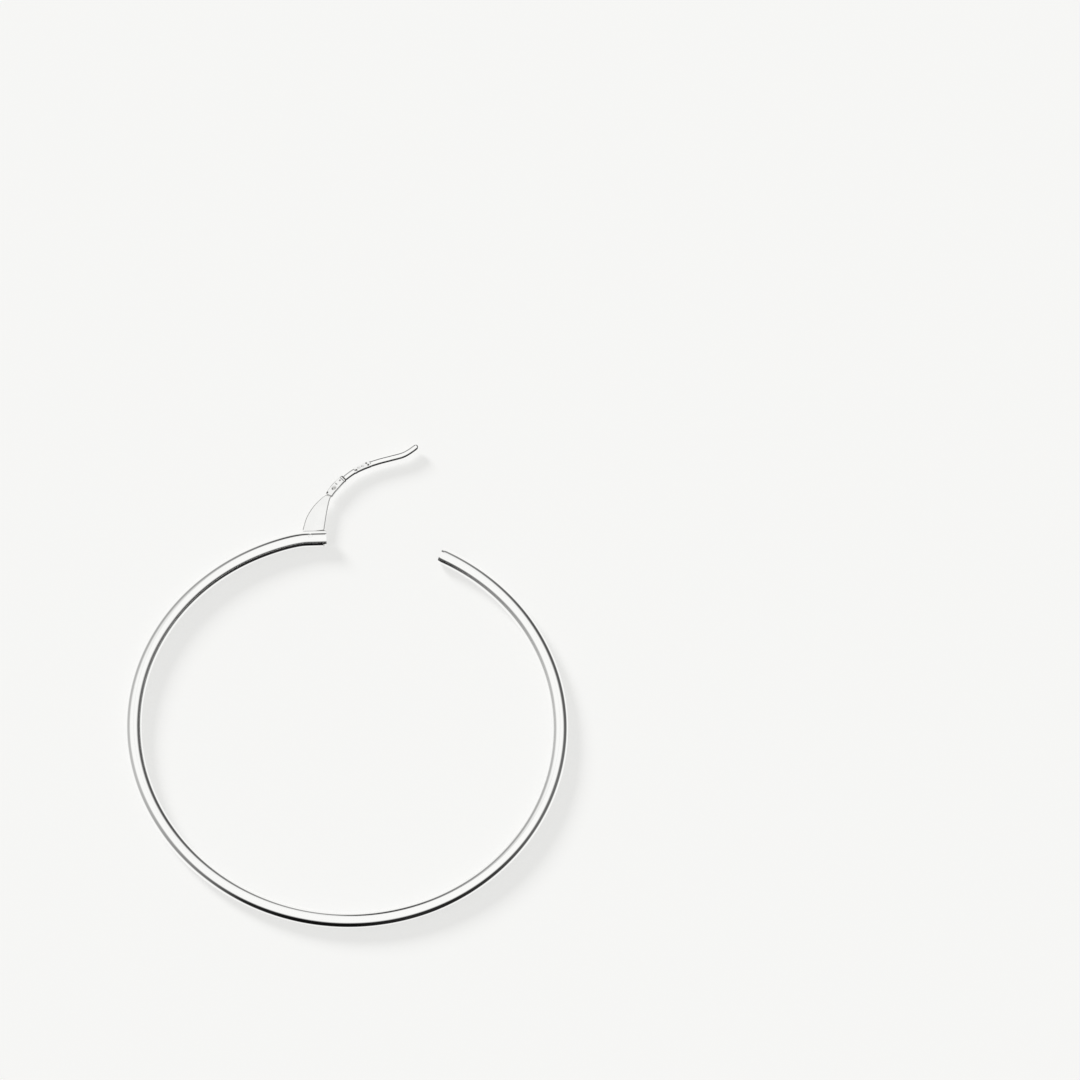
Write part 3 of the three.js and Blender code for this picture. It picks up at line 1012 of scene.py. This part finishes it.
class EARRING_OT_stage(bpy.types.Operator):
    """Sets up the pale floor, the white surround, the soft key light and the camera"""

    bl_idname = "earring.stage"
    bl_label = "Stage"

    def execute(self, context):
        stage = context.scene.stage_settings
        centre = (PIVOT_IN_FRAME - plan().pivot) * MM
        toward, right, up = self.camera_axes(stage)
        self.add_camera(context, stage, centre, toward, right, up)
        self.add_floor(stage)
        self.add_key(stage)
        self.add_surround(context, stage)
        context.scene.view_settings.view_transform = "Standard"
        return {"FINISHED"}

    @staticmethod
    def camera_axes(stage):
        turn_right, lift = stage.azimuth, stage.elevation
        toward = Vector((math.cos(lift) * math.sin(turn_right),
                         -math.cos(lift) * math.cos(turn_right), math.sin(lift)))
        level = Vector((math.cos(turn_right), math.sin(turn_right), 0.0))
        above = toward.cross(level)
        right = level * math.cos(stage.roll) + above * math.sin(stage.roll)
        up = above * math.cos(stage.roll) - level * math.sin(stage.roll)
        return toward, right, up

    @staticmethod
    def add_camera(context, stage, centre, toward, right, up):
        data = bpy.data.cameras.new("Camera")
        camera = bpy.data.objects.new("Camera", data)
        context.scene.collection.objects.link(camera)
        data.lens = stage.lens
        data.sensor_width = 36.0
        data.clip_start = 0.01
        turned = Matrix((right, up, toward)).transposed().to_4x4()
        turned.translation = centre + Vector(stage.aim) + toward * stage.distance
        camera.matrix_world = turned
        context.scene.camera = camera

    @staticmethod
    def add_floor(stage):
        deselect_all()
        bpy.ops.mesh.primitive_plane_add(size=FLOOR_SIZE, location=(0, 0, 0))
        floor = start_piece("floor")
        material, nodes = new_material("Pale floor")
        coordinates = nodes.add("ShaderNodeTexCoord")
        grain = nodes.add("ShaderNodeTexNoise", {"Vector": coordinates.outputs["Object"],
                                                 "Scale": 900.0, "Detail": 2.0})
        low = [channel * 0.995 for channel in stage.floor_colour]
        colour = nodes.mix(grain.outputs["Fac"], opaque(low), opaque(stage.floor_colour))
        shader = nodes.add("ShaderNodeBsdfPrincipled", {"Base Color": colour, "Roughness": 0.9})
        shader.inputs["Specular IOR Level"].default_value = 0.0
        shader.inputs["Emission Color"].default_value = (1.0, 1.0, 0.985, 1.0)
        shader.inputs["Emission Strength"].default_value = stage.floor_glow
        output = nodes.add("ShaderNodeOutputMaterial")
        nodes.tree.links.new(shader.outputs[0], output.inputs[0])
        floor.data.materials.append(material)
        floor.visible_glossy = False

    @staticmethod
    def add_key(stage):
        data = bpy.data.lights.new("Key", "SUN")
        key = bpy.data.objects.new("Key", data)
        bpy.context.scene.collection.objects.link(key)
        data.energy = stage.key
        data.angle = KEY_WIDTH
        source = Vector(KEY_FROM).normalized()
        key.rotation_euler = source.to_track_quat("Z", "Y").to_euler()
        key.visible_glossy = False

    @staticmethod
    def add_surround(context, stage):
        """White all round, with a dark band low down that gives the tube its dark lines."""
        world = bpy.data.worlds.new("Surround")
        context.scene.world = world
        world.use_nodes = True
        world.node_tree.nodes.clear()
        nodes = Nodes(world.node_tree)
        direction = nodes.add("ShaderNodeTexCoord").outputs["Generated"]
        parts = nodes.add("ShaderNodeSeparateXYZ", {0: direction})
        height = nodes.math("MULTIPLY", nodes.math("ARCSINE", parts.outputs["Z"]), 180 / math.pi)
        way_round = nodes.math("MULTIPLY_ADD", nodes.math(
            "ARCTAN2", parts.outputs["Y"], parts.outputs["X"]), 1 / (2 * math.pi), 0.5)
        ramp = nodes.add("ShaderNodeValToRGB", {"Fac": way_round})
        stops = ramp.color_ramp
        stops.interpolation = "LINEAR"
        while len(stops.elements) < len(DARK_BAND):
            stops.elements.new(0.5)
        for stop, (degrees, middle, half, depth) in zip(stops.elements, DARK_BAND):
            stop.position = (degrees - 180) / 360
            stop.color = ((middle + 90) / 180, half / 90, depth, 1.0)
        band = nodes.add("ShaderNodeSeparateColor", {"Color": ramp.outputs["Color"]})
        middle, half, depth = band.outputs
        middle = nodes.math("MULTIPLY_ADD", middle, 180.0, -90.0)
        off = nodes.math("ABSOLUTE", nodes.math("SUBTRACT", height, middle))
        past = nodes.math("SUBTRACT", off, nodes.math("MULTIPLY", half, 90.0))
        fall = nodes.add("ShaderNodeMapRange",
                         {"Value": past, "From Min": -BAND_SOFTNESS, "From Max": BAND_SOFTNESS,
                          "To Min": 1.0, "To Max": 0.0},
                         interpolation_type="SMOOTHSTEP").outputs[0]
        light = nodes.math("SUBTRACT", 1.0, nodes.math("MULTIPLY", depth, fall))
        path = nodes.add("ShaderNodeLightPath").outputs
        strength = nodes.math("MULTIPLY", light, stage.surround)
        strength = nodes.add("ShaderNodeMix", {"Factor": path["Is Diffuse Ray"], 2: strength,
                                               3: stage.fill}).outputs[0]
        strength = nodes.add("ShaderNodeMix", {"Factor": path["Is Camera Ray"], 2: strength,
                                               3: stage.backdrop}).outputs[0]
        background = nodes.add("ShaderNodeBackground",
                               {"Color": (1.0, 1.0, 0.99, 1.0), "Strength": strength})
        output = nodes.add("ShaderNodeOutputWorld")
        nodes.tree.links.new(background.outputs[0], output.inputs[0])


class EARRING_PT_panel(bpy.types.Panel):
    """Panel in the sidebar of the 3D view that lists the sizes and the pieces"""

    bl_idname = "EARRING_PT_panel"
    bl_label = "Hoop Earring"
    bl_space_type = "VIEW_3D"
    bl_region_type = "UI"
    bl_category = "Earring"

    def draw(self, context):
        layout = self.layout
        for name, group in SETTINGS:
            box = layout.box()
            box.label(text=group.__doc__)
            settings = getattr(context.scene, name)
            for prop in group.__annotations__:
                box.prop(settings, prop)
        for operator in OPERATORS:
            layout.operator(operator.bl_idname)


SETTINGS = (("hoop_settings", HoopSettings), ("hinge_settings", HingeSettings),
            ("wire_settings", WireSettings), ("finish_settings", FinishSettings),
            ("stage_settings", StageSettings))
OPERATORS = (EARRING_OT_hoop_tube, EARRING_OT_hinge_pin, EARRING_OT_ear_wire, EARRING_OT_stage)


def register():
    for name, group in SETTINGS:
        bpy.utils.register_class(group)
        setattr(bpy.types.Scene, name, bpy.props.PointerProperty(type=group))
    for cls in (*OPERATORS, EARRING_PT_panel):
        bpy.utils.register_class(cls)


def unregister():
    for cls in (EARRING_PT_panel, *reversed(OPERATORS)):
        bpy.utils.unregister_class(cls)
    for name, group in reversed(SETTINGS):
        delattr(bpy.types.Scene, name)
        bpy.utils.unregister_class(group)


def main():
    register()
    bpy.ops.earring.hoop_tube()
    bpy.ops.earring.hinge_pin()
    bpy.ops.earring.ear_wire()
    bpy.ops.earring.stage()


if __name__ == "__main__":
    main()
